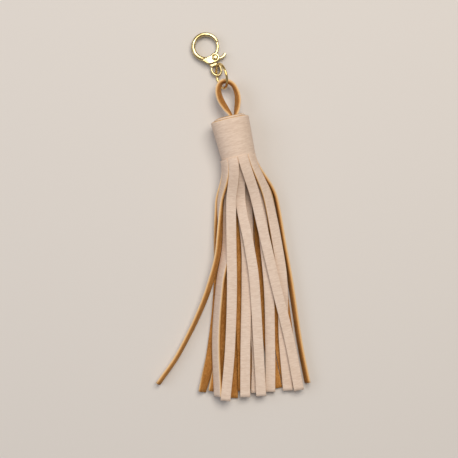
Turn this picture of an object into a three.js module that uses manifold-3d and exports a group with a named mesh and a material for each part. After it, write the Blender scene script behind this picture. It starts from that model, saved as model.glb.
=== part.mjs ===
// A fringe tassel of imitation leather with a strap loop, a jump ring and a lobster clasp, lying flat.
// Millimetres, X to the right, Y towards the clasp, Z up from the floor.
import * as THREE from "three";
import { mergeVertices } from "three/addons/utils/BufferGeometryUtils.js";
import Module from "manifold-3d";

const wasm = await Module();
wasm.setup();

// Imitation leather
const STRAND_WIDTH = 2.85;
const STRAND_ROOT_WIDTH = 2.3;
const STRAND_THICKNESS = 0.86;
const WIDTH_GROWS_OVER = 16;

// Head: the uncut band of the strip, rolled up into a slightly tapered cylinder
const HEAD_TOP_RADIUS = 5.85;
const NECK_RADIUS = 5.15;
const HEAD_LENGTH = 11.45;
const INNER_WRAP_RADIUS = 4.9;
const INNER_WRAP_RISE = 0.65;
const HEAD_SIDES = 48;

// Axis of the tassel on the floor: it leaves the neck at one heading and turns to another
const NECK = { x: 1.8, y: 19.7 };
const HEAD_HEADING = 13.4;
const FRINGE_HEADING = 4.5;
const TURN_LENGTH = 16;

// Rings of strands in the neck, and the heights at which they lie further on
const OUTER_RING = 4.62;
const INNER_RING = 3.35;
const FLOOR_LAYER = 0.5;
const LAYER_PITCH = 1.15;
const ROOT_DEPTH = 1.5;
const STRAND_STEP = 2.5;
const FLOOR_CLEARANCE = 0.02;

// Where each strand lies: `at` is its angle round the neck from the top, `up` a height above the axis
// for the two strands of the core, and `reach` its length below the neck. The lists are for 12, 35 and
// 54 mm below the neck and for the tip: `side` is the offset to the right of the axis, `layer` counts
// layers above the floor, and `roll` is in degrees, 180 being back up.
const STATIONS = [0, 12, 35, 54];
const ON_FLOOR = [0, 0, 0, 0];
const FACE_UP = [0, 0, 0, 0];
const BACK_UP = [180, 180, 180, 180];
const BACK_UP_LEFT = [-180, -180, -180, -180];
const STRANDS = [
  { ring: OUTER_RING, at: -56, reach: 62.2,
    side: [-7.4, -12.4, -22.6, -29.2], layer: [3.3, 2.2, 0.5, 0], roll: [-84, -124, -116, -115] },
  { ring: OUTER_RING, at: -20, reach: 68.2,
    side: [-4.2, -5.8, -7.9, -10.3], layer: [4.7, 3.6, 3, 3.1], roll: FACE_UP },
  { ring: OUTER_RING, at: 16.5, reach: 67,
    side: [2.9, 6.4, 9.5, 10.9], layer: [4.9, 3.1, 2.1, 2], roll: FACE_UP },
  { ring: OUTER_RING, at: 53.5, reach: 67,
    side: [6.6, 8.9, 7.7, 7.8], layer: [4, 2.1, 1.1, 1], roll: [35, 5, 0, 0] },
  { ring: OUTER_RING, at: 90, reach: 65.2,
    side: [9.2, 12.3, 13.4, 13.9], layer: [1.3, 0.9, 0.9, 0.9], roll: [100, 130, 118, 118] },
  { ring: OUTER_RING, at: 126, reach: 66.2,
    side: [3.4, 2.9, 4, 4.9], layer: ON_FLOOR, roll: BACK_UP },
  { ring: OUTER_RING, at: 162, reach: 66,
    side: [0.4, -1.2, -1.4, -1.9], layer: ON_FLOOR, roll: BACK_UP },
  { ring: OUTER_RING, at: -162, reach: 68,
    side: [-2.6, -5, -6.6, -8.1], layer: ON_FLOOR, roll: BACK_UP_LEFT },
  { ring: OUTER_RING, at: -127, reach: 65.5,
    side: [-5.8, -8.6, -12.3, -14.6], layer: ON_FLOOR, roll: BACK_UP_LEFT },
  { ring: OUTER_RING, at: -92, reach: 65.5,
    side: [-8.8, -11.6, -15.5, -17.7], layer: [0.9, 0, 0, 0], roll: [-102, -180, -165, -130] },
  { ring: INNER_RING, at: -3, reach: 67.8,
    side: [-1.1, 0.6, 0.3, 0], layer: [4.2, 3.1, 2.5, 2.2], roll: [-58, 0, 0, 0] },
  { ring: INNER_RING, at: 53, reach: 67,
    side: [3.9, 4.6, 3.7, 2.7], layer: [3.2, 2, 1, 1], roll: FACE_UP },
  { ring: INNER_RING, at: 102, reach: 65.5,
    side: [7, 9.25, 10.7, 11.2], layer: [2.1, 0.1, 0, 0], roll: [155, 180, 180, 180] },
  { ring: INNER_RING, at: 153, reach: 66,
    side: [3.8, 6.25, 7.7, 8.1], layer: [1.65, 1.1, 0, 0], roll: BACK_UP },
  { ring: INNER_RING, at: -153, reach: 66,
    side: [-2.8, -4, -4.4, -5], layer: [1.3, 1, 1, 1], roll: BACK_UP_LEFT },
  { ring: INNER_RING, at: -101, reach: 65.8,
    side: [-5.9, -7.1, -9.1, -9.7], layer: [1.27, 1, 1, 1], roll: BACK_UP_LEFT },
  { ring: INNER_RING, at: -49, reach: 67,
    side: [-5.0, -9.3, -11.8, -12.2], layer: [2.8, 2.2, 1.8, 1.5], roll: [-24, -48, -52, -50] },
  { up: 1.2, reach: 67.8,
    side: [-0.6, -1.65, -3.45, -4.6], layer: [2.35, 2, 2, 2], roll: FACE_UP },
  { up: -0.4, reach: 67,
    side: [0.3, -0.6, -0.3, -1.4], layer: [1.5, 1, 1, 1], roll: FACE_UP },
];

// Hanging strap, standing on its edge: its middle line, and its lean away from the middle of the loop
const STRAP_WIDTH = 2.85;
const STRAP_THICKNESS = 0.9;
const STRAP_STEPS = 44;
const LOOP_MIDDLE = new THREE.Vector3(-0.6, 37, 4);
const STRAP_PATH = [
  { x: 0.75, y: 27.6, z: 5.6, lean: 0 },
  { x: 0.1, y: 30.4, z: 5.6, lean: 0 },
  { x: -0.35, y: 32.2, z: 5.5, lean: 5 },
  { x: -1.9, y: 34.5, z: 4.8, lean: 22 },
  { x: -3.25, y: 36.8, z: 4.55, lean: 27 },
  { x: -3.9, y: 39.1, z: 4.3, lean: 20 },
  { x: -3.65, y: 41, z: 4.1, lean: 12 },
  { x: -2.7, y: 42.05, z: 3.85, lean: 8 },
  { x: -1.3, y: 42.15, z: 3.65, lean: 5 },
  { x: 0.35, y: 41.1, z: 3.7, lean: 8 },
  { x: 1.4, y: 38.9, z: 3.9, lean: 16 },
  { x: 1.65, y: 36.6, z: 4.3, lean: 22 },
  { x: 1.45, y: 34.3, z: 4.8, lean: 18 },
  { x: 1.1, y: 32.2, z: 5.5, lean: 5 },
  { x: 1.35, y: 30.6, z: 5.6, lean: 0 },
  { x: 2, y: 27.9, z: 5.6, lean: 0 },
];

// Pocket in the head that takes both ends of the strap, open towards the loop
const POCKET = { x: 1.05, y: 29.2, z: 5.6, wide: 3.2, deep: 4.6, open: 4, high: 3.6 };

// Jump ring, threaded through the strap and the clasp's eye
const RING = { x: -2.97, y: 43.6, radius: 3.5, wire: 0.36, lean: 68, turn: 15, steps: 40, sides: 12 };

// Lobster clasp, about the middle of its hook, +y towards the hook's top; outlines are [x, y] corners
const CLASP = { x: -7.57, y: 52.3, turn: 23.5, middle: 1.4 };
const HOOK = { outer: 4.15, inner: 2.98, thickness: 2, from: -4, to: 262 };
const PIVOT = { x: 1.2, y: -4 };
const BOSS_RADIUS = 1.35;
const CHEEK_THICKNESS = 2.8;
const CHEEK_OUTLINE = [[-2.6, -3.1], [-1.4, -4.9], [1, -5.3], [2.2, -4.9], [1.4, -3.1], [-1, -3]];
const SHANK_THICKNESS = 0.8;
const SHANK_OUTLINE = [[-1.2, -4.6], [-0.75, -5.9], [0.85, -5.9], [1.1, -4.6]];
const EYE = { x: 0.2, y: -7.32, long: 1.58, wide: 1.3, tube: 0.38, steps: 32, sides: 12 };
const SLOT_HEIGHT = 1.3;
const SLOT_CLEARANCE = 0.3;
const SLOT_TO_THE_RIGHT = [[1.2, -6], [6, -6], [6, -1], [1.2, -1]];
const SLOT_INTO_THE_HOOK = [[-0.8, -3.8], [2, -3.8], [2, -1], [-0.8, -1]];
const LEVER = { thickness: 0.8, inner: 3.05, outer: 3.9, from: -64, to: 12, boss: 0.98, reach: 4.5 };
const THUMB_BAR = { width: 0.9, bend: [2.8, -4.65], end: [4.4, -4] };
const TIP_GAP = 0.22;
const TIP_REGION = [[1.5, -6], [6, -6], [6, 3], [1.5, 3]];
const RIVET = { shaft: 0.46, hole: 0.54, head: 0.75, sink: 0.9, headThickness: 0.2, sinkDepth: 0.4 };
const CUT_THROUGH = 5;

const WELD = 1e-4;
const AXIS_STRIDE = 0.25;
const LOOK_AHEAD = 0.5;
const ARC_SEGMENTS = 10;
const rad = THREE.MathUtils.degToRad;
const up = new THREE.Vector3(0, 0, 1);

// Booleans and closed meshes
function solid(geometry) {
  const bare = geometry.index ? geometry.toNonIndexed() : geometry.clone();
  bare.deleteAttribute("normal");
  bare.deleteAttribute("uv");
  const merged = mergeVertices(bare, WELD);
  const mesh = new wasm.Mesh({
    numProp: 3,
    vertProperties: new Float32Array(merged.attributes.position.array),
    triVerts: new Uint32Array(merged.index.array),
  });
  return new wasm.Manifold(mesh);
}

function geometryOf(manifold) {
  const mesh = manifold.getMesh();
  const geometry = new THREE.BufferGeometry();
  geometry.setAttribute("position", new THREE.BufferAttribute(new Float32Array(mesh.vertProperties), 3));
  geometry.setIndex([...mesh.triVerts]);
  const flat = geometry.toNonIndexed();
  flat.computeVertexNormals();
  return flat;
}

// A skin over rings of points, either joined end to end or closed by a flat cap at each end
function skin(rings, joined = false) {
  const sides = rings[0].length;
  const positions = rings.flat().flatMap((p) => [p.x, p.y, p.z]);
  const index = [];
  const last = joined ? rings.length : rings.length - 1;
  for (let i = 0; i < last; i++) {
    const next = (i + 1) % rings.length;
    for (let j = 0; j < sides; j++) {
      const k = (j + 1) % sides;
      const [a, b, c, d] = [i * sides + j, next * sides + j, next * sides + k, i * sides + k];
      index.push(a, b, c, a, c, d);
    }
  }
  if (!joined) {
    const end = (rings.length - 1) * sides;
    for (let j = 1; j < sides - 1; j++) {
      index.push(0, j, j + 1);
      index.push(end, end + j + 1, end + j);
    }
  }
  const geometry = new THREE.BufferGeometry();
  geometry.setAttribute("position", new THREE.Float32BufferAttribute(positions, 3));
  geometry.setIndex(pointsInward(positions, index) ? index.reverse() : index);
  return geometry;
}

// Whether the faces of a closed skin enclose a negative volume
function pointsInward(positions, index) {
  const corner = (i) => new THREE.Vector3().fromArray(positions, 3 * index[i]);
  let volume = 0;
  for (let i = 0; i < index.length; i += 3) volume += corner(i).dot(corner(i + 1).cross(corner(i + 2)));
  return volume < 0;
}

// The axis of the tassel, walked in short steps from the neck
function axisAt(run) {
  let { x, y } = NECK;
  let walked = 0;
  const headingAt = (s) => {
    const t = THREE.MathUtils.smoothstep(s, 0, TURN_LENGTH);
    return rad(THREE.MathUtils.lerp(HEAD_HEADING, FRINGE_HEADING, t));
  };
  if (run < 0) {
    const h = headingAt(0);
    return { x: x + Math.sin(h) * run, y: y - Math.cos(h) * run, heading: h };
  }
  while (walked < run) {
    const step = Math.min(AXIS_STRIDE, run - walked);
    const h = headingAt(walked + step / 2);
    x += Math.sin(h) * step;
    y -= Math.cos(h) * step;
    walked += step;
  }
  return { x, y, heading: headingAt(run) };
}

// A point beside the axis: `side` is to the right of it, seen from above with the clasp at the top
function beside(run, side, height) {
  const { x, y, heading } = axisAt(run);
  return new THREE.Vector3(x + Math.cos(heading) * side, y + Math.sin(heading) * side, height);
}

// A smooth curve through the stations that never swings past a value
function through(xs, ys, x) {
  const slopes = ys.slice(1).map((y, i) => (y - ys[i]) / (xs[i + 1] - xs[i]));
  const tangent = (i) => {
    if (i === 0) return 0;
    if (i === ys.length - 1) return slopes[i - 1];
    const [before, after] = [slopes[i - 1], slopes[i]];
    return before * after <= 0 ? 0 : (2 * before * after) / (before + after);
  };
  let i = 0;
  while (i < xs.length - 2 && x > xs[i + 1]) i++;
  const h = xs[i + 1] - xs[i];
  const t = (x - xs[i]) / h;
  return (
    (2 * t ** 3 - 3 * t ** 2 + 1) * ys[i] +
    (t ** 3 - 2 * t ** 2 + t) * h * tangent(i) +
    (3 * t ** 2 - 2 * t ** 3) * ys[i + 1] +
    (t ** 3 - t ** 2) * h * tangent(i + 1)
  );
}

// Middle, roll and width of one strand at a distance below the neck; it never sinks into the floor
function strandAt(strand, run) {
  const inCore = strand.up !== undefined;
  const angle = inCore ? 0 : strand.at;
  const rootSide = inCore ? 0 : strand.ring * Math.sin(rad(angle));
  const rootHeight = NECK_RADIUS + (inCore ? strand.up : strand.ring * Math.cos(rad(angle)));
  const runs = [...STATIONS, strand.reach];
  const s = Math.max(run, 0);
  const roll = rad(through(runs, [angle, ...strand.roll], s));
  const side = through(runs, [rootSide, ...strand.side], s);
  const layers = strand.layer.map((n) => FLOOR_LAYER + LAYER_PITCH * n);
  const grown = THREE.MathUtils.clamp(s / WIDTH_GROWS_OVER, 0, 1);
  const width = THREE.MathUtils.lerp(STRAND_ROOT_WIDTH, STRAND_WIDTH, grown);
  const tall = Math.abs(Math.sin(roll)) * width + Math.abs(Math.cos(roll)) * STRAND_THICKNESS;
  const height = Math.max(through(runs, [rootHeight, ...layers], s), tall / 2 + FLOOR_CLEARANCE);
  return { middle: beside(run, side, height), roll, width };
}

// The four corners of a strip's section, from its middle and its two directions
function stripCorners(middle, across, width, face, thickness) {
  const corner = (i, j) =>
    middle.clone().addScaledVector(across, (i * width) / 2).addScaledVector(face, (j * thickness) / 2);
  return [corner(-1, -1), corner(-1, 1), corner(1, 1), corner(1, -1)];
}

function strandSolid(strand) {
  const steps = Math.ceil((strand.reach + ROOT_DEPTH) / STRAND_STEP);
  const rings = [];
  for (let i = 0; i <= steps; i++) {
    const run = -ROOT_DEPTH + ((strand.reach + ROOT_DEPTH) * i) / steps;
    const { middle, roll, width } = strandAt(strand, run);
    const ahead = strandAt(strand, Math.min(run + LOOK_AHEAD, strand.reach)).middle;
    const behind = strandAt(strand, Math.max(run - LOOK_AHEAD, -ROOT_DEPTH)).middle;
    const along = ahead.clone().sub(behind).normalize();
    const right = up.clone().cross(along).normalize();
    const out = along.clone().cross(right);
    const across = right.clone().multiplyScalar(Math.cos(roll)).addScaledVector(out, -Math.sin(roll));
    const face = right.clone().multiplyScalar(Math.sin(roll)).addScaledVector(out, Math.cos(roll));
    rings.push(stripCorners(middle, across, width, face, STRAND_THICKNESS));
  }
  return solid(skin(rings));
}

// Head
function headRing(run, radius, height) {
  const ring = [];
  for (let i = 0; i < HEAD_SIDES; i++) {
    const a = (2 * Math.PI * (i + 0.5)) / HEAD_SIDES;
    const flat = radius / Math.cos(Math.PI / HEAD_SIDES);
    ring.push(beside(run, -flat * Math.sin(a), height + flat * Math.cos(a)));
  }
  return ring;
}

const headRings = [
  headRing(-HEAD_LENGTH - INNER_WRAP_RISE, INNER_WRAP_RADIUS, HEAD_TOP_RADIUS),
  headRing(-HEAD_LENGTH, INNER_WRAP_RADIUS, HEAD_TOP_RADIUS),
  headRing(-HEAD_LENGTH, HEAD_TOP_RADIUS, HEAD_TOP_RADIUS),
  headRing(0, NECK_RADIUS, NECK_RADIUS),
];
const pocketBox = new THREE.BoxGeometry(POCKET.wide, POCKET.deep + POCKET.open, POCKET.high);
pocketBox.translate(0, POCKET.open / 2, 0);
pocketBox.rotateZ(rad(HEAD_HEADING));
pocketBox.translate(POCKET.x, POCKET.y, POCKET.z);

let tasselSolid = solid(skin(headRings)).subtract(solid(pocketBox));
for (const strand of STRANDS) tasselSolid = tasselSolid.add(strandSolid(strand));

// Strap loop
function strapSolid() {
  const curve = new THREE.CatmullRomCurve3(STRAP_PATH.map((p) => new THREE.Vector3(p.x, p.y, p.z)));
  const rings = [];
  for (let i = 0; i <= STRAP_STEPS; i++) {
    const t = i / STRAP_STEPS;
    const point = curve.getPoint(t);
    const along = curve.getTangent(t);
    const outward = along.clone().cross(up).normalize();
    if (outward.dot(point.clone().sub(LOOP_MIDDLE)) < 0) outward.negate();
    const place = t * (STRAP_PATH.length - 1);
    const row = Math.min(Math.floor(place), STRAP_PATH.length - 2);
    const lean = rad(THREE.MathUtils.lerp(STRAP_PATH[row].lean, STRAP_PATH[row + 1].lean, place - row));
    const across = up.clone().multiplyScalar(Math.cos(lean)).addScaledVector(outward, Math.sin(lean));
    const thick = outward.clone().multiplyScalar(Math.cos(lean)).addScaledVector(up, -Math.sin(lean));
    rings.push(stripCorners(point, across, STRAP_WIDTH, thick, STRAP_THICKNESS));
  }
  return skin(rings);
}

// Jump ring: its long way lies level, its left side low
function ringGeometry() {
  const geometry = new THREE.TorusGeometry(RING.radius, RING.wire, RING.sides, RING.steps);
  geometry.rotateY(rad(-RING.lean));
  geometry.rotateZ(rad(RING.turn));
  const height = RING.radius * Math.sin(rad(RING.lean)) + RING.wire;
  geometry.translate(RING.x, RING.y, height);
  return geometry;
}

// Clasp
function plate(shape, thickness) {
  const settings = { depth: thickness, bevelEnabled: false, curveSegments: ARC_SEGMENTS };
  const geometry = new THREE.ExtrudeGeometry(shape, settings);
  geometry.translate(0, 0, -thickness / 2);
  return solid(geometry);
}

function sector(inner, outer, from, to) {
  const shape = new THREE.Shape();
  shape.absarc(0, 0, outer, rad(from), rad(to), false);
  shape.absarc(0, 0, inner, rad(to), rad(from), true);
  return shape;
}

function disc(radius, x, y) {
  const shape = new THREE.Shape();
  shape.absarc(x, y, radius, 0, 2 * Math.PI, false);
  return shape;
}

function polygon(points) {
  return new THREE.Shape(points.map(([x, y]) => new THREE.Vector2(x, y)));
}

// A bar of even width between two points, round at both ends
function bar(from, to, width, thickness) {
  const [dx, dy] = [to[0] - from[0], to[1] - from[1]];
  const length = Math.hypot(dx, dy);
  const [nx, ny] = [(-dy / length) * (width / 2), (dx / length) * (width / 2)];
  const sides = polygon([
    [from[0] + nx, from[1] + ny],
    [from[0] - nx, from[1] - ny],
    [to[0] - nx, to[1] - ny],
    [to[0] + nx, to[1] + ny],
  ]);
  return plate(sides, thickness)
    .add(plate(disc(width / 2, ...from), thickness))
    .add(plate(disc(width / 2, ...to), thickness));
}

const boss = disc(BOSS_RADIUS, PIVOT.x, PIVOT.y);
const cheeks = plate(boss, CHEEK_THICKNESS).add(plate(polygon(CHEEK_OUTLINE), CHEEK_THICKNESS));
const shank = plate(polygon(SHANK_OUTLINE), SHANK_THICKNESS);

function eyeSolid() {
  const rings = [];
  for (let i = 0; i < EYE.steps; i++) {
    const a = (2 * Math.PI * i) / EYE.steps;
    const ring = [];
    for (let j = 0; j < EYE.sides; j++) {
      const b = (2 * Math.PI * j) / EYE.sides;
      const [w, l] = [EYE.wide + EYE.tube * Math.cos(b), EYE.long + EYE.tube * Math.cos(b)];
      ring.push(new THREE.Vector3(EYE.x + w * Math.cos(a), EYE.y + l * Math.sin(a), EYE.tube * Math.sin(b)));
    }
    rings.push(ring);
  }
  return solid(skin(rings, true));
}

// The slot between the cheeks, open to the right and into the hook for the lever
const slot = plate(disc(LEVER.boss + SLOT_CLEARANCE, PIVOT.x, PIVOT.y), SLOT_HEIGHT)
  .add(plate(polygon(SLOT_TO_THE_RIGHT), SLOT_HEIGHT))
  .add(plate(polygon(SLOT_INTO_THE_HOOK), SLOT_HEIGHT));
// The hook ends on an arc about the rivet, so that the lever's tip swings past it
const tipArc = plate(disc(LEVER.reach + TIP_GAP, PIVOT.x, PIVOT.y), CUT_THROUGH)
  .intersect(plate(polygon(TIP_REGION), CUT_THROUGH));
const rivetHole = plate(disc(RIVET.hole, PIVOT.x, PIVOT.y), CUT_THROUGH);
const sink = plate(disc(RIVET.sink, PIVOT.x, PIVOT.y), RIVET.sinkDepth * 2);
const bodySolid = plate(sector(HOOK.inner, HOOK.outer, HOOK.from, HOOK.to), HOOK.thickness)
  .subtract(tipArc)
  .add(cheeks)
  .add(shank)
  .add(eyeSolid())
  .subtract(slot)
  .subtract(rivetHole)
  .subtract(sink.translate([0, 0, CHEEK_THICKNESS / 2]))
  .subtract(sink.translate([0, 0, -CHEEK_THICKNESS / 2]));

const leverSolid = plate(sector(LEVER.inner, LEVER.outer, LEVER.from, LEVER.to), LEVER.thickness)
  .intersect(plate(disc(LEVER.reach, PIVOT.x, PIVOT.y), CUT_THROUGH))
  .add(plate(disc(LEVER.boss, PIVOT.x, PIVOT.y), LEVER.thickness))
  .add(bar([PIVOT.x, PIVOT.y], THUMB_BAR.bend, THUMB_BAR.width, LEVER.thickness))
  .add(bar(THUMB_BAR.bend, THUMB_BAR.end, THUMB_BAR.width, LEVER.thickness))
  .subtract(rivetHole);

// The rivet fills both cheeks, with a head in each sink
const rivetHead = plate(disc(RIVET.head, PIVOT.x, PIVOT.y), RIVET.headThickness);
const headLevel = (CHEEK_THICKNESS - RIVET.headThickness) / 2;
const rivetSolid = plate(disc(RIVET.shaft, PIVOT.x, PIVOT.y), CHEEK_THICKNESS)
  .add(rivetHead.translate([0, 0, headLevel]))
  .add(rivetHead.translate([0, 0, -headLevel]));

function placeClasp(manifold) {
  const geometry = geometryOf(manifold);
  geometry.rotateZ(rad(CLASP.turn));
  geometry.translate(CLASP.x, CLASP.y, CLASP.middle);
  return geometry;
}

// Meshes
const leather = new THREE.MeshStandardMaterial({ color: 0xdcc6ae, roughness: 0.75 });
const strapLeather = new THREE.MeshStandardMaterial({ color: 0xd8b48a, roughness: 0.8 });
const gilt = new THREE.MeshStandardMaterial({ color: 0xc9a64e, metalness: 0.9, roughness: 0.35 });
const cast = new THREE.MeshStandardMaterial({ color: 0xc4ad6f, metalness: 0.9, roughness: 0.4 });
const gate = new THREE.MeshStandardMaterial({ color: 0xb89b5a, metalness: 0.9, roughness: 0.4 });
const pin = new THREE.MeshStandardMaterial({ color: 0xd9c68a, metalness: 0.9, roughness: 0.3 });

const part = new THREE.Group();
function add(name, geometry, material) {
  const mesh = new THREE.Mesh(geometry, material);
  mesh.name = name;
  part.add(mesh);
}
add("tassel", geometryOf(tasselSolid), leather);
add("hanging_loop", strapSolid(), strapLeather);
add("jump_ring", ringGeometry(), gilt);
add("clasp_body", placeClasp(bodySolid), cast);
add("clasp_lever", placeClasp(leverSolid), gate);
add("clasp_rivet", placeClasp(rivetSolid), pin);

// The part's frame: the middle of its bottom face
const bounds = new THREE.Box3().setFromObject(part);
const centre = bounds.getCenter(new THREE.Vector3());
for (const mesh of part.children) mesh.geometry.translate(-centre.x, -centre.y, -bounds.min.z);

export default part;
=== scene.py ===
# %% [markdown]
# # A fringe tassel with a clasp
# The tassel is one strip of imitation leather, slit into strands and rolled up into its own head.
# A narrow strap loop comes out of the roll, and a jump ring and a lobster clasp hang on the strap.
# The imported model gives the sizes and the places. This script gives each piece its finish: rounded
# cut edges, a rolled head, a cream grained face, an ochre suede back and gilt metal.
#
# Lengths are worked out in millimetres on the drawing of the tassel, and turned into metres at the end.

# %% Load the frame
import math

import bpy
from mathutils import Matrix, Vector


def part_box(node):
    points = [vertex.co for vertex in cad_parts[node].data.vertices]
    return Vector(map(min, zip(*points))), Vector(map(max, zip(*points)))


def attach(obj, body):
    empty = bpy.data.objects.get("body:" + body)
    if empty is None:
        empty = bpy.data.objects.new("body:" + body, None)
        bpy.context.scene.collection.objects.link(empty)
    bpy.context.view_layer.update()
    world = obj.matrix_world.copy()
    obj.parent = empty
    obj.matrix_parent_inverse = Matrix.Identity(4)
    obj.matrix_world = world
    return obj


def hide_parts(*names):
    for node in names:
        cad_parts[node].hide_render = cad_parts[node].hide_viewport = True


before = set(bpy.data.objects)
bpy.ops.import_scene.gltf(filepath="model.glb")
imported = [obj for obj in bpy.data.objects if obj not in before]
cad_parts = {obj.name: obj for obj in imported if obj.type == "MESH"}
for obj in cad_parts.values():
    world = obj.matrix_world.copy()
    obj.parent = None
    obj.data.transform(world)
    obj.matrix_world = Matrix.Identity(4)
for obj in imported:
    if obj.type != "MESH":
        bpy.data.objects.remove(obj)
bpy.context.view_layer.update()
MM = 0.001
print("nodes:", sorted(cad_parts))

# %% [markdown]
# ## Where the drawing lies
# The drawing has its own origin, and the rivet of the clasp is the point that both sides know:
# its place on the drawing follows from the clasp's numbers, and its place in the model is its box.

# %% Drawing to model
CLASP = Vector((-7.57, 52.3, 1.4))
CLASP_TURN = math.radians(23.5)
PIVOT = Vector((1.2, -4.0, 0.0))


def on_drawing(point):
    """A point of the clasp's own plan, set down on the drawing."""
    return CLASP + Matrix.Rotation(CLASP_TURN, 3, "Z") @ Vector(point)


rivet_low, rivet_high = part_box("clasp_rivet")
SHIFT = (rivet_low + rivet_high) / 2 / MM - on_drawing(PIVOT)
SHIFT.z = 0.0


def placed(point):
    """A point of the drawing in millimetres, as a place in the model in metres."""
    return (Vector(point) + SHIFT) * MM


print("the drawing moves by", [round(v, 3) for v in SHIFT], "mm")

# %% [markdown]
# ## Camera
# The photograph looks straight down on the tassel, so the camera hangs high above it. A long lens
# keeps the near head from looking larger than the far floor.

# %% Camera
VIEW_WIDTH = 130.9
VIEW_CENTRE = (-0.86, 0.0, 3.0)
LENS = 100.0
SENSOR = 36.0

camera = bpy.data.objects.new("camera", bpy.data.cameras.new("camera"))
bpy.context.scene.collection.objects.link(camera)
bpy.context.scene.camera = camera
camera.data.lens = LENS
camera.data.sensor_width = SENSOR
distance = VIEW_WIDTH * LENS / SENSOR
camera.location = placed(VIEW_CENTRE) + Vector((0.0, 0.0, distance * MM))
camera.data.clip_start = 0.01
camera.data.clip_end = 10.0
print("camera distance:", round(distance), "mm")

# %% [markdown]
# ## Node helpers
# Every finish is built from nodes. Two small helpers keep the cells short: one makes an empty
# material with its shader, the other adds a node and sets its sockets by name.


# %% Node helpers
def paint(red, green, blue):
    """A colour as seen on a screen, 0 to 255, turned into the linear values that a shader takes."""
    linear = []
    for value in (red, green, blue):
        part = value / 255
        linear.append(part / 12.92 if part <= 0.04045 else ((part + 0.055) / 1.055) ** 2.4)
    return (*linear, 1.0)


def new_material(name, **values):
    """A material with one principled shader, whose sockets take the values."""
    material = bpy.data.materials.new(name)
    material.use_nodes = True
    shader = material.node_tree.nodes["Principled BSDF"]
    for socket, value in values.items():
        shader.inputs[socket.replace("_", " ")].default_value = value
    return material, shader


def node(material, kind, sockets=None, **settings):
    """A new node: settings are its properties, sockets its inputs, as values or as links."""
    made = material.node_tree.nodes.new("ShaderNode" + kind)
    for name, value in settings.items():
        setattr(made, name, value)
    for name, value in (sockets or {}).items():
        if isinstance(value, bpy.types.NodeSocket):
            material.node_tree.links.new(value, made.inputs[name])
        else:
            made.inputs[name].default_value = value
    return made


def link(material, output, target):
    material.node_tree.links.new(output, target)


def ramp(material, factor, stops, interpolation="LINEAR"):
    """A colour ramp with any number of stops, each a place from 0 to 1 and a colour."""
    made = node(material, "ValToRGB", {"Fac": factor})
    elements = made.color_ramp.elements
    made.color_ramp.interpolation = interpolation
    while len(elements) < len(stops):
        elements.new(0.5)
    for element, (place, colour) in zip(elements, stops):
        element.position = place
        element.color = colour
    return made.outputs["Color"]


def grey(value):
    return (value, value, value, 1.0)


# %% [markdown]
# ## Leather, in the strip's own coordinates
# The pattern of the leather belongs to the flat strip from which the tassel was cut. So every point
# of the leather carries a `strip` attribute: how far it lies along the strip, how far down from the
# neck, and how deep in the stuff. The grain then follows each strand through its bends.

# %% Leather face: cream, with a fine crosswise grain
FACE_CREAM = paint(225, 205, 188)
FACE_CREASE_SHADE = paint(211, 188, 169)

face, shader = new_material("leather_face", Roughness=0.62, Specular_IOR_Level=0.35)
strip = node(face, "Attribute", attribute_name="strip").outputs["Vector"]
# Long creases across the strand: the noise is stretched sideways and tight lengthwise.
creases = node(face, "TexNoise", {
    "Vector": node(face, "Mapping", {"Vector": strip, "Scale": (0.6, 3.4, 1.0)}).outputs["Vector"],
    "Scale": 1.0,
    "Detail": 4.0,
    "Roughness": 0.62,
}).outputs["Fac"]
pores = node(face, "TexNoise", {
    "Vector": node(face, "Mapping", {"Vector": strip, "Scale": (3.2, 6.4, 1.0)}).outputs["Vector"],
    "Scale": 1.0,
    "Detail": 2.0,
}).outputs["Fac"]
patches = node(face, "TexNoise", {
    "Vector": node(face, "Mapping", {"Vector": strip, "Scale": (0.12, 0.05, 1.0)}).outputs["Vector"],
    "Scale": 1.0,
    "Detail": 1.0,
}).outputs["Fac"]
crease_share = ramp(face, creases, [(0.36, grey(0.0)), (0.62, grey(1.0))])
low_pores = node(face, "Math", {0: pores, 1: 0.35}, operation="MULTIPLY").outputs[0]
relief = node(face, "Math", {0: crease_share, 1: pores, 2: low_pores}, operation="MULTIPLY_ADD")
# Painted shade: where the creases run low, the face takes the darker cream.
tone = node(face, "Mix", {"Factor": crease_share}, data_type="RGBA")
tone.inputs[6].default_value = FACE_CREASE_SHADE
tone.inputs[7].default_value = FACE_CREAM
warm = node(face, "Mix", {"Factor": patches}, data_type="RGBA", blend_type="MULTIPLY")
link(face, tone.outputs[2], warm.inputs[6])
warm.inputs[7].default_value = paint(250, 243, 236)
link(face, warm.outputs[2], shader.inputs["Base Color"])
bump = node(face, "Bump", {"Strength": 0.35, "Distance": 0.00006, "Height": relief.outputs[0]})
link(face, bump.outputs["Normal"], shader.inputs["Normal"])

# %% [markdown]
# The cut edge shows what the stuff is made of: a thin cream skin on top, a pale foam under it, and
# the ochre base cloth at the back. The third strip coordinate, the depth, drives a ramp for this.

# %% Cut edge: skin, foam and base cloth in layers
edge, shader = new_material("leather_edge", Roughness=0.8, Specular_IOR_Level=0.25)
strip = node(edge, "Attribute", attribute_name="strip").outputs["Vector"]
depth = node(edge, "SeparateXYZ", {"Vector": strip}).outputs["Z"]
fray = node(edge, "TexNoise", {"Vector": strip, "Scale": 2.4, "Detail": 3.0}).outputs["Fac"]
wobble = node(edge, "Math", {0: fray, 1: 0.22, 2: -0.11}, operation="MULTIPLY_ADD").outputs[0]
level = node(edge, "Math", {0: depth, 1: wobble}, operation="ADD").outputs[0]
layer = node(edge, "MapRange", {"Value": level, "From Min": -0.43, "From Max": 0.43}).outputs["Result"]
layers = ramp(edge, layer, [
    (0.0, paint(160, 104, 48)),
    (0.34, paint(184, 126, 64)),
    (0.46, paint(214, 172, 116)),
    (0.8, paint(226, 190, 142)),
    (1.0, paint(224, 200, 178)),
])
link(edge, layers, shader.inputs["Base Color"])
bump = node(edge, "Bump", {"Strength": 0.3, "Distance": 0.00005, "Height": fray})
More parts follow.
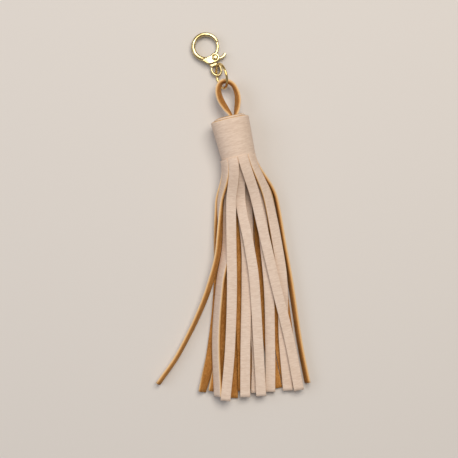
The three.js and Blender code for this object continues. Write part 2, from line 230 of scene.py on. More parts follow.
link(edge, bump.outputs["Normal"], shader.inputs["Normal"])

# %% [markdown]
# The back is a brushed ochre cloth. It is rough, so it scatters a little light at a low angle,
# which the sheen stands for, and its nap lies in short flecks along the strand.

# %% Suede back
suede, shader = new_material("suede_back", Roughness=0.95, Specular_IOR_Level=0.15, Sheen_Weight=0.25)
shader.inputs["Sheen Tint"].default_value = paint(236, 190, 120)
strip = node(suede, "Attribute", attribute_name="strip").outputs["Vector"]
flecks = node(suede, "TexNoise", {
    "Vector": node(suede, "Mapping", {"Vector": strip, "Scale": (3.4, 1.5, 1.0)}).outputs["Vector"],
    "Scale": 1.0,
    "Detail": 4.0,
    "Roughness": 0.7,
}).outputs["Fac"]
clouds = node(suede, "TexNoise", {"Vector": strip, "Scale": 0.22, "Detail": 2.0}).outputs["Fac"]
both = node(suede, "Math", {0: clouds, 1: 0.45, 2: flecks}, operation="MULTIPLY_ADD").outputs[0]
ochre = ramp(suede, both, [
    (0.45, paint(136, 86, 36)),
    (0.72, paint(172, 116, 56)),
    (1.0, paint(204, 148, 84)),
])
link(suede, ochre, shader.inputs["Base Color"])
bump = node(suede, "Bump", {"Strength": 0.5, "Distance": 0.0001, "Height": flecks})
link(suede, bump.outputs["Normal"], shader.inputs["Normal"])
FACE, EDGE, BACK = 0, 1, 2
LEATHER = (face, edge, suede)

# %% [markdown]
# ## A strip as a mesh
# Strands, band and strap are all the same thing: a rounded rectangle swept along a path. The section
# is a list of corners with the finish that starts at each of them, and a builder collects the rings.


# %% Strip builder
SHEET_THICKNESS = 0.86
EDGE_ROUND = 0.13


def section(width, thickness=SHEET_THICKNESS, cuts=3):
    """Corners of a cut strip, across and deep, with the finish of the side that follows each."""
    half, deep, small = width / 2, thickness / 2, EDGE_ROUND * 0.3
    flat = [-1 + 2 * i / (cuts + 1) for i in range(cuts + 2)]
    inner = half - EDGE_ROUND
    corners = [(inner * x, deep, FACE) for x in flat]
    corners += [(half - small, deep - small, EDGE), (half, deep - EDGE_ROUND, EDGE)]
    corners += [(half, EDGE_ROUND - deep, EDGE), (half - small, small - deep, BACK)]
    corners += [(inner * x, -deep, BACK) for x in reversed(flat)]
    corners += [(small - half, small - deep, EDGE), (-half, EDGE_ROUND - deep, EDGE)]
    corners += [(-half, deep - EDGE_ROUND, EDGE), (small - half, deep - small, FACE)]
    return corners


class Strips:
    """Collects swept strips into one mesh, with the strip coordinates of every point."""

    def __init__(self):
        self.points = []
        self.strip = []
        self.faces = []
        self.finish = []

    def sweep(self, rings, coordinates, finishes):
        start, sides = len(self.points), len(finishes)
        for ring, where in zip(rings, coordinates):
            self.points += ring
            self.strip += where
        for i in range(len(rings) - 1):
            for j in range(sides):
                k = (j + 1) % sides
                low, high = start + i * sides, start + (i + 1) * sides
                self.faces.append((low + j, high + j, high + k, low + k))
                self.finish.append(finishes[j])
        last = start + (len(rings) - 1) * sides
        self.faces.append(tuple(start + j for j in range(sides)))
        self.faces.append(tuple(last + j for j in reversed(range(sides))))
        self.finish += [EDGE, EDGE]

    def piece(self, name, materials=LEATHER):
        mesh = bpy.data.meshes.new(name)
        mesh.from_pydata([placed(p) for p in self.points], [], self.faces)
        for material in materials:
            mesh.materials.append(material)
        mesh.polygons.foreach_set("material_index", self.finish)
        mesh.polygons.foreach_set("use_smooth", [True] * len(self.faces))
        held = mesh.attributes.new("strip", "FLOAT_VECTOR", "POINT")
        held.data.foreach_set("vector", [v for where in self.strip for v in where])
        made = bpy.data.objects.new(name, mesh)
        bpy.context.scene.collection.objects.link(made)
        turn_outward(mesh)
        print(name, "has", len(self.faces), "faces")
        return made


def turn_outward(mesh):
    """Turns the faces round if they enclose a negative volume."""
    mesh.calc_loop_triangles()
    volume = 0.0
    for triangle in mesh.loop_triangles:
        a, b, c = (mesh.vertices[i].co for i in triangle.vertices)
        volume += a.dot(b.cross(c))
    if volume < 0:
        mesh.flip_normals()


# %% [markdown]
# ## The lie of the tassel
# The tassel lies along a gently bent axis on the floor. These lines walk that axis once, in small
# steps, and then give any point beside it: `run` is the way down from the neck, negative in the head.

# %% Axis of the tassel
NECK = (1.8, 19.7)
HEAD_HEADING = 13.4
FRINGE_HEADING = 4.5
TURN_LENGTH = 16.0
AXIS_STEP = 0.25


def smooth(t):
    t = min(max(t, 0.0), 1.0)
    return t * t * (3 - 2 * t)


def mix(a, b, t):
    return a + (b - a) * t


def heading_at(run):
    return math.radians(mix(HEAD_HEADING, FRINGE_HEADING, smooth(run / TURN_LENGTH)))


walk = [NECK]
for step in range(300):
    h = heading_at((step + 0.5) * AXIS_STEP)
    walk.append((walk[-1][0] + math.sin(h) * AXIS_STEP, walk[-1][1] - math.cos(h) * AXIS_STEP))


def beside(run, side, height):
    """The point that lies `side` to the right of the axis, and `height` above the floor."""
    h = heading_at(run)
    if run < 0:
        x, y = NECK[0] + math.sin(h) * run, NECK[1] - math.cos(h) * run
    else:
        i = min(int(run / AXIS_STEP), len(walk) - 2)
        t = run / AXIS_STEP - i
        x, y = mix(walk[i][0], walk[i + 1][0], t), mix(walk[i][1], walk[i + 1][1], t)
    return Vector((x + math.cos(h) * side, y + math.sin(h) * side, height))


# %% [markdown]
# ## Strands
# Each strand starts in the neck, where it is still part of the rolled band and bent like it, and
# then flattens and finds its own place on the heap. The table gives the ring of the roll that it
# grows from, its angle there and its length. Then come, for 12, 24, 35 and 54 mm below the neck and
# for the tip, its offset from the axis, its layer above the floor and its roll in degrees. The last
# two rows are the core of the roll: in place of a ring they have a height above the axis.

# %% Table of strands
NECK_RADIUS = 5.15
OUTER_RING = NECK_RADIUS - SHEET_THICKNESS / 2
INNER_RING = 3.4
FLOOR_LAYER = 0.5
LAYER_PITCH = 1.15
STATIONS = [0, 12, 24, 35, 54]
ON_FLOOR = [0, 0, 0, 0, 0]
FACE_UP = [0, 0, 0, 0, 0]
BACK_UP = [180, 180, 180, 180, 180]
BACK_UP_LEFT = [-180, -180, -180, -180, -180]


def strand(ring, at, reach, side, layer, roll):
    return {"ring": ring, "at": at, "side": side, "layer": layer, "roll": roll, "reach": reach}


STRANDS = [
    strand(OUTER_RING, -56, 62.2, [-7.45, -8.75, -12.2, -22.6, -29.2],
           [3.4, 2.9, 2.2, 0.5, 0], [-72, -108, -111, -104, -104]),
    strand(OUTER_RING, -20, 68.2, [-4.2, -5.09, -5.8, -7.9, -10.3],
           [4.7, 4.01, 3.6, 3, 3.1], FACE_UP),
    strand(OUTER_RING, 16.5, 67.0, [2.9, 4.68, 6.4, 9.5, 10.9],
           [4.9, 3.8, 3.1, 2.1, 2], FACE_UP),
    strand(OUTER_RING, 53.5, 67.0, [6.3, 7.8, 8.6, 7.7, 7.8],
           [4, 3, 2.1, 1.1, 1], [35, 16, 5, 0, 0]),
    strand(OUTER_RING, 90, 65.2, [8.7, 9.8, 10.9, 12.3, 13.6],
           [1.3, 1.0, 0.9, 0.9, 0.9], [98, 104, 106, 106, 108]),
    strand(OUTER_RING, 126, 66.2, [3.4, 3.06, 2.7, 3.4, 4.9],
           ON_FLOOR, BACK_UP),
    strand(OUTER_RING, 162, 66.0, [0.4, 0.1, -0.85, -1.4, -1.9],
           ON_FLOOR, BACK_UP),
    strand(OUTER_RING, -162, 68.0, [-2.5, -2.8, -3.8, -6.7, -8.1],
           ON_FLOOR, BACK_UP_LEFT),
    strand(OUTER_RING, -127, 65.5, [-5.5, -5.75, -6.75, -10.1, -14.0],
           ON_FLOOR, [-180, -180, -180, -180, -120]),
    strand(OUTER_RING, -92, 65.5, [-8.2, -8.75, -9.65, -13.1, -16.8],
           [0.9, 0.3, 0, 0, 0.3], [-104, -155, -180, -165, -125]),
    strand(INNER_RING, -3, 67.8, [-1.5, -0.15, 0.6, 0.3, 0],
           [3.8, 3.5, 3.1, 2.5, 2.2], FACE_UP),
    strand(INNER_RING, 53, 67.0, [3.9, 4.4, 4.6, 3.7, 2.7],
           [3.2, 2.49, 2, 1, 1], FACE_UP),
    strand(INNER_RING, 102, 65.5, [6.5, 7.4, 8.3, 9.4, 10.8],
           [2.1, 0.8, 0.1, 0, 0], [155, 173, 180, 180, 180]),
    strand(INNER_RING, 153, 66.0, [3.6, 4.5, 5.3, 6.4, 7.9],
           [1.65, 1.46, 1.1, 0, 0], BACK_UP),
    strand(INNER_RING, -153, 66.0, [-2.8, -3.54, -4, -4.4, -5],
           [1.3, 1.11, 1, 1, 1], BACK_UP_LEFT),
    strand(INNER_RING, -101, 65.8, [-5.8, -6.6, -7.4, -9.3, -9.8],
           [1.27, 1.07, 1, 1, 1], BACK_UP_LEFT),
    strand(INNER_RING, -49, 67.0, [-4.9, -6.4, -9.2, -11.8, -12.3],
           [2.8, 2.5, 2.5, 2.4, 2.3], [-22, -38, -50, -50, -48]),
    strand(1.2, 0, 67.8, [-1.4, -0.95, -1.65, -3.45, -4.6],
           [2.45, 2.3, 2, 2, 2], FACE_UP),
    strand(-0.4, 0, 67.0, [0.3, -0.18, -0.6, -0.3, -1.4],
           [1.5, 1.13, 1, 1, 1], FACE_UP),
]

# %% [markdown]
# Between the stations a value follows a smooth curve that never swings past the numbers given.
# It is the usual cubic with gentle slopes: the slope is zero where the values turn back.


# %% Curve through the stations
def through(xs, ys, x):
    slopes = [(ys[i + 1] - ys[i]) / (xs[i + 1] - xs[i]) for i in range(len(ys) - 1)]

    def slope(i):
        if i == 0:
            return 0.0
        if i == len(ys) - 1:
            return slopes[-1]
        a, b = slopes[i - 1], slopes[i]
        return 0.0 if a * b <= 0 else 2 * a * b / (a + b)

    i = 0
    while i < len(xs) - 2 and x > xs[i + 1]:
        i += 1
    h = xs[i + 1] - xs[i]
    t = (x - xs[i]) / h
    return (
        (2 * t**3 - 3 * t**2 + 1) * ys[i]
        + (t**3 - 2 * t**2 + t) * h * slope(i)
        + (3 * t**2 - 2 * t**3) * ys[i + 1]
        + (t**3 - t**2) * h * slope(i + 1)
    )


# %% [markdown]
# A strand is a flat ribbon with two directions of its own: across it, and out of its cream face.
# Both turn with the roll. Near the neck the ribbon is also bent round the head, like a roof tile.
# The slits end a little below the neck, and each strand starts just inside the band above them.

# %% Sweep the strands
ROOT_WIDTH = 2.9
STRAND_WIDTH = 2.85
ROOT_RUN = -0.7
SLIT_RUN = 1.3
ROOT_SINK = 0.05
STRAND_STEP = 0.9
FLATTENS_OVER = 9.0
SINKS_OVER = 0.6
NARROWS_OVER = 16.0
FLOOR_CLEARANCE = 0.02
HEAD_TOP_RADIUS = 5.85
HEAD_LENGTH = 11.45
ROLL_START = 144.0
ROLL_PITCH = 0.95


def along_strip(turned):
    """How far along the flat strip a number of turns of the roll reaches."""
    outer = HEAD_TOP_RADIUS - SHEET_THICKNESS / 2
    return 2 * math.pi * (outer * turned - ROLL_PITCH * turned**2 / 2)


def place_on_strip(row):
    """Where a strand was slit: the outer ring is the first turn, the inner ring the second."""
    first = {OUTER_RING: 0, INNER_RING: 1}.get(row["ring"], 2)
    return along_strip(first + (ROLL_START - row["at"]) / 360)


def strand_at(row, run):
    """Middle, roll and width of a strand, at a way down from the neck."""
    runs = [*STATIONS, row["reach"]]
    s = max(run, 0.0)
    angle = math.radians(row["at"])
    roll = math.radians(through(runs, [row["at"], *row["roll"]], s))
    root_ring = row["ring"] - ROOT_SINK * smooth((SLIT_RUN - run) / SINKS_OVER)
    root_side = root_ring * math.sin(angle)
    side = through(runs, [root_side, *row["side"]], s)
    layers = [FLOOR_LAYER + LAYER_PITCH * n for n in row["layer"]]
    root_height = NECK_RADIUS + root_ring * math.cos(angle)
    width = mix(ROOT_WIDTH, STRAND_WIDTH, smooth(s / NARROWS_OVER))
    lowest = (abs(math.sin(roll)) * width + abs(math.cos(roll)) * SHEET_THICKNESS) / 2
    height = max(through(runs, [root_height, *layers], s), lowest + FLOOR_CLEARANCE)
    return beside(run, side, height), roll, width


def ribbon_axes(before, after, roll):
    """The two directions of a ribbon that heads from one point to another."""
    along = (after - before).normalized()
    right = Vector((0, 0, 1)).cross(along).normalized()
    out = along.cross(right)
    across = right * math.cos(roll) - out * math.sin(roll)
    face_way = right * math.sin(roll) + out * math.cos(roll)
    return across, face_way


def add_strand(strips, row):
    start = place_on_strip(row)
    widening = (HEAD_TOP_RADIUS - SHEET_THICKNESS / 2) / OUTER_RING
    steps = math.ceil((row["reach"] - ROOT_RUN) / STRAND_STEP)
    rings, coordinates = [], []
    for i in range(steps + 1):
        run = mix(ROOT_RUN, row["reach"], i / steps)
        middle, roll, width = strand_at(row, run)
        before = strand_at(row, max(run - 0.5, ROOT_RUN))[0]
        after = strand_at(row, min(run + 0.5, row["reach"]))[0]
        across, face_way = ribbon_axes(before, after, roll)
        bend = (1 - smooth(run / FLATTENS_OVER)) / row["ring"] if abs(row["ring"]) > 2 else 0.0
        ring, where = [], []
        for a, d, _ in section(width):
            if bend > 1e-4:
                x = (1 / bend + d) * math.sin(a * bend)
                y = (1 / bend + d) * math.cos(a * bend) - 1 / bend
            else:
                x, y = a, d
            ring.append(middle + across * x + face_way * y)
            where.append((start - a * widening, run, d))
        rings.append(ring)
        coordinates.append(where)
    strips.sweep(rings, coordinates, [finish for _, _, finish in section(1.0)])


fringe = Strips()
for row in STRANDS:
    add_strand(fringe, row)

# %% [markdown]
# ## The rolled head
# Above the slits the strip is whole, and it is rolled up round the two ends of the strap. Seen from
# above the roll is a cone with a shallow step, where the inner turns stand out a little further.
# The path of the roll is a spiral.

# %% Roll the band
INNER_RISE = 0.65
INNER_STARTS = 0.45
INNER_RISES_OVER = 0.5
ROLL_TURNS = 2.72
ROLL_STEP = 0.55
HEAD_SQUARENESS = 2.35
RIM_SKEW = 0.4


def roll_path():
    """Points of the rolled strip at the head's top, to the side and up from the middle."""
    outer = HEAD_TOP_RADIUS - SHEET_THICKNESS / 2
    path = []
    turned = 0.0
    while turned < ROLL_TURNS:
        radius = outer - ROLL_PITCH * turned
        angle = math.radians(ROLL_START - 360 * turned)
        path.append((Vector((radius * math.sin(angle), radius * math.cos(angle))), turned))
        turned += ROLL_STEP / (2 * math.pi * radius)
    return path


def squared(point, share):
    """How much further out a point of a circle lies once the circle is pressed a little square."""
    x, y = abs(point.x) / point.length, abs(point.y) / point.length
    full = (x**HEAD_SQUARENESS + y**HEAD_SQUARENESS) ** (-1 / HEAD_SQUARENESS)
    return mix(1.0, full, share)


def add_band(strips):
    path = roll_path()
    rings, coordinates = [], []
    corners = section(1.0, cuts=9)
    for i, (point, turned) in enumerate(path):
        ahead = path[min(i + 1, len(path) - 1)][0]
        behind = path[max(i - 1, 0)][0]
        along = (ahead - behind).normalized()
        outward = Vector((-along.y, along.x))
        if outward.dot(point) < 0:
            outward = -outward
        top = -HEAD_LENGTH - INNER_RISE * smooth((turned - INNER_STARTS) / INNER_RISES_OVER)
        ring, where = [], []
        for a, d, _ in section(SLIT_RUN - top, cuts=9):
            run = (top + SLIT_RUN) / 2 - a
            if run < top + EDGE_ROUND:
                run -= (SHEET_THICKNESS / 2 - d) * RIM_SKEW
            radius = mix(NECK_RADIUS, HEAD_TOP_RADIUS, min(-run / HEAD_LENGTH, 1.0))
            scale = radius / HEAD_TOP_RADIUS * squared(point, smooth(-run / HEAD_LENGTH))
            flat = (point + outward * d) * scale
            ring.append(beside(run, flat.x, radius + flat.y))
            where.append((along_strip(turned), run, d))
        rings.append(ring)
        coordinates.append(where)
    strips.sweep(rings, coordinates, [finish for _, _, finish in corners])


add_band(fringe)
fringe_strip = fringe.piece("fringe_strip")
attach(fringe_strip, "tassel")
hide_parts("tassel")

# %% [markdown]
# The tassel was cut from one flat sheet.

# %% [markdown]
# ## Strap loop
# The strap is a narrow strip of the same stuff. It stands on its edge, cream side out, and its loop
# leans open like a funnel, so that its ochre inside shows from above. It follows a smooth line
# through a short table of places.

# %% Strap
STRAP_WIDTH = 2.85
STRAP_THICKNESS = 0.9
STRAP_STEPS = 120
LOOP_MIDDLE = Vector((-0.6, 37.0, 4.0))
STRAP_PATH = [
    (0.75, 27.6, 5.6, 0),
    (0.1, 30.4, 5.6, 0),
    (-0.35, 32.2, 5.5, 5),
    (-1.9, 34.5, 4.8, 22),
    (-3.25, 36.8, 4.55, 27),
    (-3.9, 39.1, 4.3, 20),
    (-3.65, 41, 4.1, 12),
    (-2.7, 42.05, 3.85, 8),
    (-1.3, 42.15, 3.65, 5),
    (0.35, 41.1, 3.7, 8),
    (1.4, 38.9, 3.9, 16),
    (1.65, 36.6, 4.3, 22),
    (1.45, 34.3, 4.8, 18),
    (1.1, 32.2, 5.5, 5),
    (1.35, 30.6, 5.6, 0),
    (2, 27.9, 5.6, 0),
]


def smooth_line(points, place):
    """The point on the centripetal curve through the points, at a place from 0 to 1, and its way."""
    share = place * (len(points) - 1)
    i = min(int(share), len(points) - 2)
    t = share - i
    b, c = points[i], points[i + 1]
    a = points[i - 1] if i else b * 2 - c
    d = points[i + 2] if i + 2 < len(points) else c * 2 - b
    before, here, after = ((q - p).length ** 0.5 for p, q in ((a, b), (b, c), (c, d)))
    leave = ((b - a) / before - (c - a) / (before + here) + (c - b) / here) * here
    arrive = ((c - b) / here - (d - b) / (here + after) + (d - c) / after) * here
    third = (b - c) * 2 + leave + arrive
    second = (c - b) * 3 - leave * 2 - arrive
    point = b + leave * t + second * t**2 + third * t**3
    way = leave + second * 2 * t + third * 3 * t**2
    return point, way.normalized()


def add_strap(strips):
    points = [Vector(row[:3]) for row in STRAP_PATH]
    rings, coordinates = [], []
    corners = section(STRAP_WIDTH, STRAP_THICKNESS)
    walked, last = 0.0, None
    for i in range(STRAP_STEPS + 1):
        place = i / STRAP_STEPS
        point, along = smooth_line(points, place)
        walked += (point - last).length if last else 0.0
        last = point
        outward = along.cross(Vector((0, 0, 1))).normalized()
        if outward.dot(point - LOOP_MIDDLE) < 0:
            outward = -outward
        share = place * (len(points) - 1)
        row = min(int(share), len(points) - 2)
        lean = math.radians(mix(STRAP_PATH[row][3], STRAP_PATH[row + 1][3], share - row))
        across = Vector((0, 0, 1)) * math.cos(lean) + outward * math.sin(lean)
        thick = outward * math.cos(lean) - Vector((0, 0, 1)) * math.sin(lean)
        rings.append([point + across * a + thick * d for a, d, _ in corners])
        coordinates.append([(a + 90, walked, d) for a, d, _ in corners])
    strips.sweep(rings, coordinates, [finish for _, _, finish in corners])
    print("the strap is", round(walked, 1), "mm long")


strap = Strips()
add_strap(strap)
strap_loop = strap.piece("strap_loop")
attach(strap_loop, "tassel")
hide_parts("hanging_loop")

# %% [markdown]
# ## Gilt metal
# The ring is drawn wire and the clasp is a small casting, both polished and thinly gilt. Plating
# mirrors its surroundings, but never quite evenly: a slow noise varies the roughness and lays patches of
# painted shade into the colour, and a very weak bump stands for what polishing leaves behind.


# %% Metal finishes
def gilt(name, bright, painted_shade_tone, roughness, scale):
    """A plated metal named by its two tones, the darker one laid in patches as painted shade."""
    material, shader = new_material(name, Metallic=1.0)
    place = node(material, "TexCoord").outputs["Object"]
    slow = node(material, "TexNoise", {"Vector": place, "Scale": scale, "Detail": 3.0}).outputs["Fac"]
    fine = node(material, "TexNoise", {"Vector": place, "Scale": scale * 9, "Detail": 2.0}).outputs["Fac"]
    # Painted shade: the slow noise lays the darker tone into the colour in patches.
    bright_and_shade = ramp(material, slow, [(0.35, painted_shade_tone), (0.65, bright)])
    link(material, bright_and_shade, shader.inputs["Base Color"])
    dull = node(material, "MapRange", {
        "Value": slow,
        "To Min": roughness * 1.35,
        "To Max": roughness * 0.7,
    })
    link(material, dull.outputs["Result"], shader.inputs["Roughness"])
    bump = node(material, "Bump", {"Strength": 0.12, "Distance": 0.00002, "Height": fine})
    link(material, bump.outputs["Normal"], shader.inputs["Normal"])
    return material


wire_gilt = gilt("gilt_wire", paint(238, 212, 152), paint(204, 170, 102), 0.2, 900.0)
cast_gilt = gilt("gilt_casting", paint(216, 200, 154), paint(176, 156, 106), 0.26, 700.0)
lever_gilt = gilt("gilt_lever", paint(222, 206, 158), paint(184, 164, 112), 0.24, 700.0)
pin_gilt = gilt("gilt_pin", paint(228, 210, 162), paint(192, 170, 118), 0.22, 900.0)

# %% [markdown]
# ## Jump ring
# A jump ring is one turn of wire, cut from a coil, so its two ends only meet. The circle is drawn
# flat, bent up on its side, and swept with a round section; a hair of a gap marks where it closes.

# %% Jump ring
RING_PLACE = (-2.97, 43.6)
RING_RADIUS = 3.5
WIRE_RADIUS = 0.36
RING_LEAN = math.radians(68)
RING_TURN = math.radians(15)
RING_GAP = 0.9
RING_OPENS_AT = 205.0


def skin(rings, joined=False):
    """Corners and faces of a skin over rings of points, capped at both ends unless it is joined."""
    sides = len(rings[0])
    faces = []
    for i in range(len(rings) if joined else len(rings) - 1):
        low, high = i * sides, (i + 1) % len(rings) * sides
        for j in range(sides):
            k = (j + 1) % sides
            faces.append((low + j, high + j, high + k, low + k))
    if not joined:
        last = (len(rings) - 1) * sides
        faces.append(tuple(range(sides)))
        faces.append(tuple(last + j for j in reversed(range(sides))))
    return [p for ring in rings for p in ring], faces


def new_piece(name, corners, faces, material):
    mesh = bpy.data.meshes.new(name)
    mesh.from_pydata([placed(p) for p in corners], [], faces)
    mesh.materials.append(material)
    mesh.polygons.foreach_set("use_smooth", [True] * len(faces))
    turn_outward(mesh)
    made = bpy.data.objects.new(name, mesh)
    bpy.context.scene.collection.objects.link(made)
    print(name, "has", len(faces), "faces")
    return made


def wire_rings(steps=96, sides=20):
    stand = Matrix.Rotation(RING_TURN, 3, "Z") @ Matrix.Rotation(-RING_LEAN, 3, "Y")
    height = RING_RADIUS * math.sin(RING_LEAN) + WIRE_RADIUS
    middle = Vector((*RING_PLACE, height))
    rings = []
    for i in range(steps + 1):
        turn = math.radians(RING_OPENS_AT + RING_GAP + (360 - 2 * RING_GAP) * i / steps)
        out = Vector((math.cos(turn), math.sin(turn), 0))
        ring = []
        for j in range(sides):
            b = 2 * math.pi * j / sides
            reach = RING_RADIUS + WIRE_RADIUS * math.cos(b)
            ring.append(middle + stand @ (out * reach + Vector((0, 0, WIRE_RADIUS * math.sin(b)))))
        rings.append(ring)
    return rings


wire_ring = new_piece("wire_ring", *skin(wire_rings()), wire_gilt)
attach(wire_ring, "tassel")
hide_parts("jump_ring")

# %% [markdown]
# ## Castings
# The clasp comes out of a mould, so nothing on it has a sharp corner. Its parts are drawn as simple
# rounded bodies that run into each other. A voxel remesh melts them into one skin, a few rounds of
# smoothing take the steps out, and the slots and holes are cut afterwards, so that they stay crisp.


# %% Casting helpers
def oval_sweep(path, joined=False, sides=20, square=2.6):
    """A skin along a path of (middle, sideways direction, half width, half height), in the plan."""
    rings = []
    for (x, y), (dx, dy), half, high in path:
        ring = []
        for j in range(sides):
            b = 2 * math.pi * j / sides
            c, s = math.cos(b), math.sin(b)
            across = math.copysign(abs(c) ** (2 / square), c) * half
            up = math.copysign(abs(s) ** (2 / square), s) * high
            ring.append(Vector((x + dx * across, y + dy * across, up)))
        rings.append(ring)
    return skin(rings, joined)


def pebble(outline, half_height, roundness=0.3):
    """A flat body with the given outline, rounded over at the top and the bottom."""
    middle = sum((Vector((x, y, 0)) for x, y in outline), Vector()) / len(outline)
    size = max((Vector((x, y, 0)) - middle).length for x, y in outline)
    rings = []
    for i in range(9):
        b = math.pi * (i / 8 - 0.5)
        level = (half_height - roundness) * (1 if b > 0 else -1) * min(abs(b) * 4, 1)
        up = level + roundness * math.sin(b)
        scale = 1 - roundness * (1 - math.cos(b)) / size
        centre = middle + Vector((0, 0, up))
        rings.append([centre + (Vector((x, y, 0)) - middle) * scale for x, y in outline])
    return skin(rings)


def round_outline(radius, x, y, count=36):
    turns = [2 * math.pi * i / count for i in range(count)]
    return [(x + radius * math.cos(t), y + radius * math.sin(t)) for t in turns]


def prism(outline, low, high):
    return skin([[Vector((x, y, z)) for x, y in outline] for z in (low, high)])


def loose_object(name, corners, faces):
    mesh = bpy.data.meshes.new(name)
    mesh.from_pydata(corners, [], faces)
    turn_outward(mesh)
    made = bpy.data.objects.new(name, mesh)
    bpy.context.scene.collection.objects.link(made)
    return made


def cast(name, bodies, cuts, material, voxel, rounds):
    """Melts bodies into one skin, smooths it, cuts it, and sets it down on the drawing."""
    # Each body is turned outward on its own before they are melted together.
    raw = [loose_object(f"{name}_{i}", *body) for i, body in enumerate(bodies)]
    melted = raw[0]
    with bpy.context.temp_override(
        active_object=melted, object=melted, selected_objects=raw, selected_editable_objects=raw
    ):
        bpy.ops.object.join()
    remesh = melted.modifiers.new("melt", "REMESH")
    remesh.mode = "VOXEL"
    remesh.voxel_size = voxel
    even = melted.modifiers.new("even", "SMOOTH")
    even.factor = 0.5
    even.iterations = rounds
    tools = [loose_object(f"{name}_cut_{i}", *body) for i, body in enumerate(cuts)]
    for tool in tools:
        cut = melted.modifiers.new("cut", "BOOLEAN")
        cut.operation = "DIFFERENCE"
        cut.solver = "EXACT"
        cut.object = tool
    depsgraph = bpy.context.evaluated_depsgraph_get()
    mesh = bpy.data.meshes.new_from_object(melted.evaluated_get(depsgraph))
    mesh.name = name
    for old in [melted, *tools]:
        bpy.data.objects.remove(old)
    for vertex in mesh.vertices:
        vertex.co = placed(on_drawing(vertex.co))
    mesh.materials.clear()
    mesh.materials.append(material)
    mesh.polygons.foreach_set("use_smooth", [True] * len(mesh.polygons))
    made = bpy.data.objects.new(name, mesh)
    bpy.context.scene.collection.objects.link(made)
    print(name, "has", len(mesh.polygons), "faces")
    return made


# %% [markdown]
# ## Clasp body
# The hook is a bar bent round a circle, thickest where it leaves the cheeks and slimmer towards its
# free end. Two cheeks hold the lever between them, and a short neck carries the eye for the ring.

# %% Clasp body
HOOK = [
    (-9, 3.05, 4.05, 0.75),
    (30, 3.0, 4.12, 0.88),
    (90, 2.95, 4.15, 0.98),
    (160, 2.95, 4.18, 1.0),
    (215, 2.93, 4.25, 1.1),
    (268, 2.95, 4.4, 1.3),
]
CHEEKS = [
    (-2.7, -3.2),
    (-1.6, -4.8),
    (-0.6, -5.2),
    (1.0, -5.35),
    (2.2, -4.95),
    (1.4, -3.1),
    (-1.0, -2.95),
]
CHEEK_HALF = 1.4
BOSS_RADIUS = 1.38
NECK_OUTLINE = [
    (-1.35, -4.3),
    (-1.15, -5.5),
    (-0.85, -6.2),
    (0.95, -6.2),
    (1.15, -5.5),
    (1.2, -4.3),
]
NECK_HALF = 0.62
EYE = (0.2, -7.32)
EYE_WIDE, EYE_LONG, EYE_TUBE = 1.32, 1.6, 0.4
SLOT_HALF = 0.65
LEVER_REACH, TIP_GAP = 4.5, 0.22
HOLE_RADIUS, SINK_RADIUS, SINK_DEPTH = 0.54, 0.9, 0.4


def table_at(rows, x, column):
    return through([row[0] for row in rows], [row[column] for row in rows], x)


def hook_path(rows, steps=90):
    path = []
    for i in range(steps + 1):
        angle = mix(rows[0][0], rows[-1][0], i / steps)
        inner, outer, high = (table_at(rows, angle, column) for column in (1, 2, 3))
        out = (math.cos(math.radians(angle)), math.sin(math.radians(angle)))
        middle = (inner + outer) / 2
        path.append(((out[0] * middle, out[1] * middle), out, (outer - inner) / 2, high))
    return path


def eye_path(steps=60):
    path = []
    for i in range(steps):
        a = 2 * math.pi * i / steps
        out = (math.cos(a), math.sin(a))
        middle = (EYE[0] + EYE_WIDE * out[0], EYE[1] + EYE_LONG * out[1])
        path.append((middle, out, EYE_TUBE, EYE_TUBE * 1.1))
    return path


def round_rivet(radius, angle):
    """A point of a circle round the rivet, with the angle in degrees."""
    a = math.radians(angle)
    return (PIVOT.x + radius * math.cos(a), PIVOT.y + radius * math.sin(a))


swing = [round_rivet(LEVER_REACH + TIP_GAP, i + 90) for i in range(-60, 61, 4)]
tip_cut = [(1.5, -1.0), (6.0, -1.0), *[(x, y) for x, y in swing if x >= 1.5 and y > -1.0]]
body = cast(
    "cast_hook",
    [
        oval_sweep(hook_path(HOOK)),
        pebble(CHEEKS, CHEEK_HALF),
        pebble(round_outline(BOSS_RADIUS, PIVOT.x, PIVOT.y), CHEEK_HALF),
        pebble(NECK_OUTLINE, NECK_HALF, 0.35),
        oval_sweep(eye_path(), joined=True, square=2.0),
    ],
    [
        prism(round_outline(1.28, PIVOT.x, PIVOT.y), -SLOT_HALF, SLOT_HALF),
        prism([(1.2, -6), (6, -6), (6, -1), (1.2, -1)], -SLOT_HALF + 0.001, SLOT_HALF - 0.001),
        prism([(-0.8, -3.8), (2, -3.8), (2, -1), (-0.8, -1)], -SLOT_HALF + 0.002, SLOT_HALF - 0.002),
        prism(tip_cut, -2.5, 2.5),
        prism(round_outline(HOLE_RADIUS, PIVOT.x, PIVOT.y), -3, 3),
        prism(round_outline(SINK_RADIUS, PIVOT.x, PIVOT.y), CHEEK_HALF - SINK_DEPTH, 3),
        prism(round_outline(SINK_RADIUS, PIVOT.x, PIVOT.y), -3, SINK_DEPTH - CHEEK_HALF),
    ],
    cast_gilt,
    0.075,
    6,
)
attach(body, "tassel")
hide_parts("clasp_body")

# %% [markdown]
# ## Lever and rivet
# The lever is one small casting: an arc that closes the hook, a boss round the rivet and a finger for
# the thumb, which curls up at its end. The rivet is a pin with a domed head in each cheek.

# %% Lever and rivet
LEVER_HALF = 0.4
LEVER_ARC = [(-66, 3.03, 3.92, 0.4), (-20, 3.05, 3.9, 0.4), (16, 3.08, 3.86, 0.38)]
BOSS_OF_LEVER = 0.98
FINGER = [
    ((1.2, -4.0), 0.5),
    ((2.1, -4.5), 0.46),
    ((2.9, -4.68), 0.44),
    ((3.7, -4.5), 0.44),
    ((4.4, -4.0), 0.48),
]


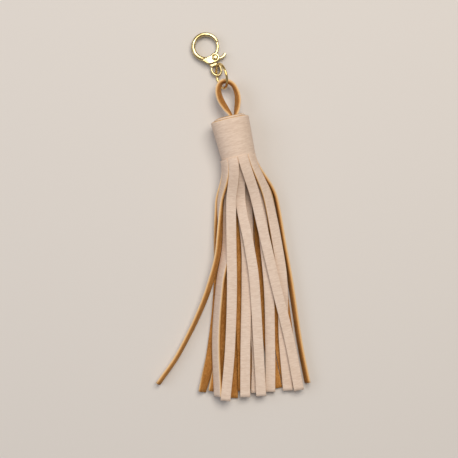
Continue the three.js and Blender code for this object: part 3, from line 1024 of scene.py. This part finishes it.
def finger_path():
    path = []
    for i, ((x, y), half) in enumerate(FINGER):
        (x0, y0), (x1, y1) = FINGER[max(i - 1, 0)][0], FINGER[min(i + 1, len(FINGER) - 1)][0]
        away = Vector((y0 - y1, x1 - x0)).normalized()
        path.append(((x, y), tuple(away), half, LEVER_HALF))
    return path


reach_cut = [round_rivet(LEVER_REACH, i + 60) for i in range(-70, 71, 5)]
outer_cut = [round_rivet(9, i + 60) for i in (70, 30, 0, -30, -70)]
lever = cast(
    "thumb_lever",
    [
        oval_sweep(hook_path(LEVER_ARC, 40)),
        pebble(round_outline(BOSS_OF_LEVER, PIVOT.x, PIVOT.y), LEVER_HALF, 0.12),
        oval_sweep(finger_path()),
    ],
    [
        prism(reach_cut + outer_cut, -2.5, 2.5),
        prism(round_outline(HOLE_RADIUS, PIVOT.x, PIVOT.y), -3, 3),
    ],
    lever_gilt,
    0.05,
    4,
)
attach(lever, "lever")
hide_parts("clasp_lever")

SHAFT, HEAD = 0.46, 0.74
RIVET_PROFILE = [
    (0.02, 1.43),
    (0.3, 1.42),
    (0.55, 1.37),
    (0.7, 1.3),
    (HEAD, 1.24),
    (HEAD, 1.2),
    (SHAFT, 1.19),
]


def rivet_rings(sides=32):
    profile = RIVET_PROFILE + [(r, -z) for r, z in reversed(RIVET_PROFILE)]
    turns = [2 * math.pi * j / sides for j in range(sides)]
    rings = []
    for radius, z in profile:
        around = [Vector((radius * math.cos(t), radius * math.sin(t), z)) for t in turns]
        rings.append([on_drawing(PIVOT + offset) for offset in around])
    return rings


rivet = new_piece("rivet_pin", *skin(rivet_rings()), pin_gilt)
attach(rivet, "tassel")
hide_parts("clasp_rivet")

# %% [markdown]
# ## Floor and light
# The floor is plain and matt, so that only the shadows lie on it. One soft light stands high above
# the head of the tassel and draws the shadows between the strands, a weaker and cooler one from the
# left opens them a little, and a dim even sky lights the rest.

# %% Floor and light
FLOOR_HALF = 2.0
FLOOR_DROP = 0.00002
floor_material, shader = new_material("floor", Roughness=0.9, Specular_IOR_Level=0.2)
floor_mesh = bpy.data.meshes.new("floor")
floor_corners = [(x * FLOOR_HALF, y * FLOOR_HALF, 0) for x, y in ((-1, -1), (1, -1), (1, 1), (-1, 1))]
floor_mesh.from_pydata(floor_corners, [], [(0, 1, 2, 3)])
floor_mesh.materials.append(floor_material)
floor = bpy.data.objects.new("floor", floor_mesh)
floor.location.z = -FLOOR_DROP
bpy.context.scene.collection.objects.link(floor)
shader.inputs["Base Color"].default_value = paint(212, 205, 198)

world = bpy.data.worlds.new("world")
bpy.context.scene.world = world
world.use_nodes = True
world.node_tree.nodes["Background"].inputs["Color"].default_value = paint(244, 246, 250)
world.node_tree.nodes["Background"].inputs["Strength"].default_value = 0.24


def soft_light(name, place, size, power, colour):
    light = bpy.data.objects.new(name, bpy.data.lights.new(name, "AREA"))
    light.data.shape = "DISK"
    light.data.size = size
    light.data.energy = power
    light.data.color = colour[:3]
    light.location = place
    light.rotation_mode = "QUATERNION"
    light.rotation_quaternion = (-Vector(place)).to_track_quat("-Z", "Y")
    bpy.context.scene.collection.objects.link(light)
    return light


soft_light("key", (0.10, 0.24, 0.62), 0.45, 3.8, paint(255, 250, 242))
soft_light("fill", (-0.45, 0.10, 0.45), 0.5, 1.0, paint(240, 244, 255))
bpy.context.scene.view_settings.view_transform = "Standard"
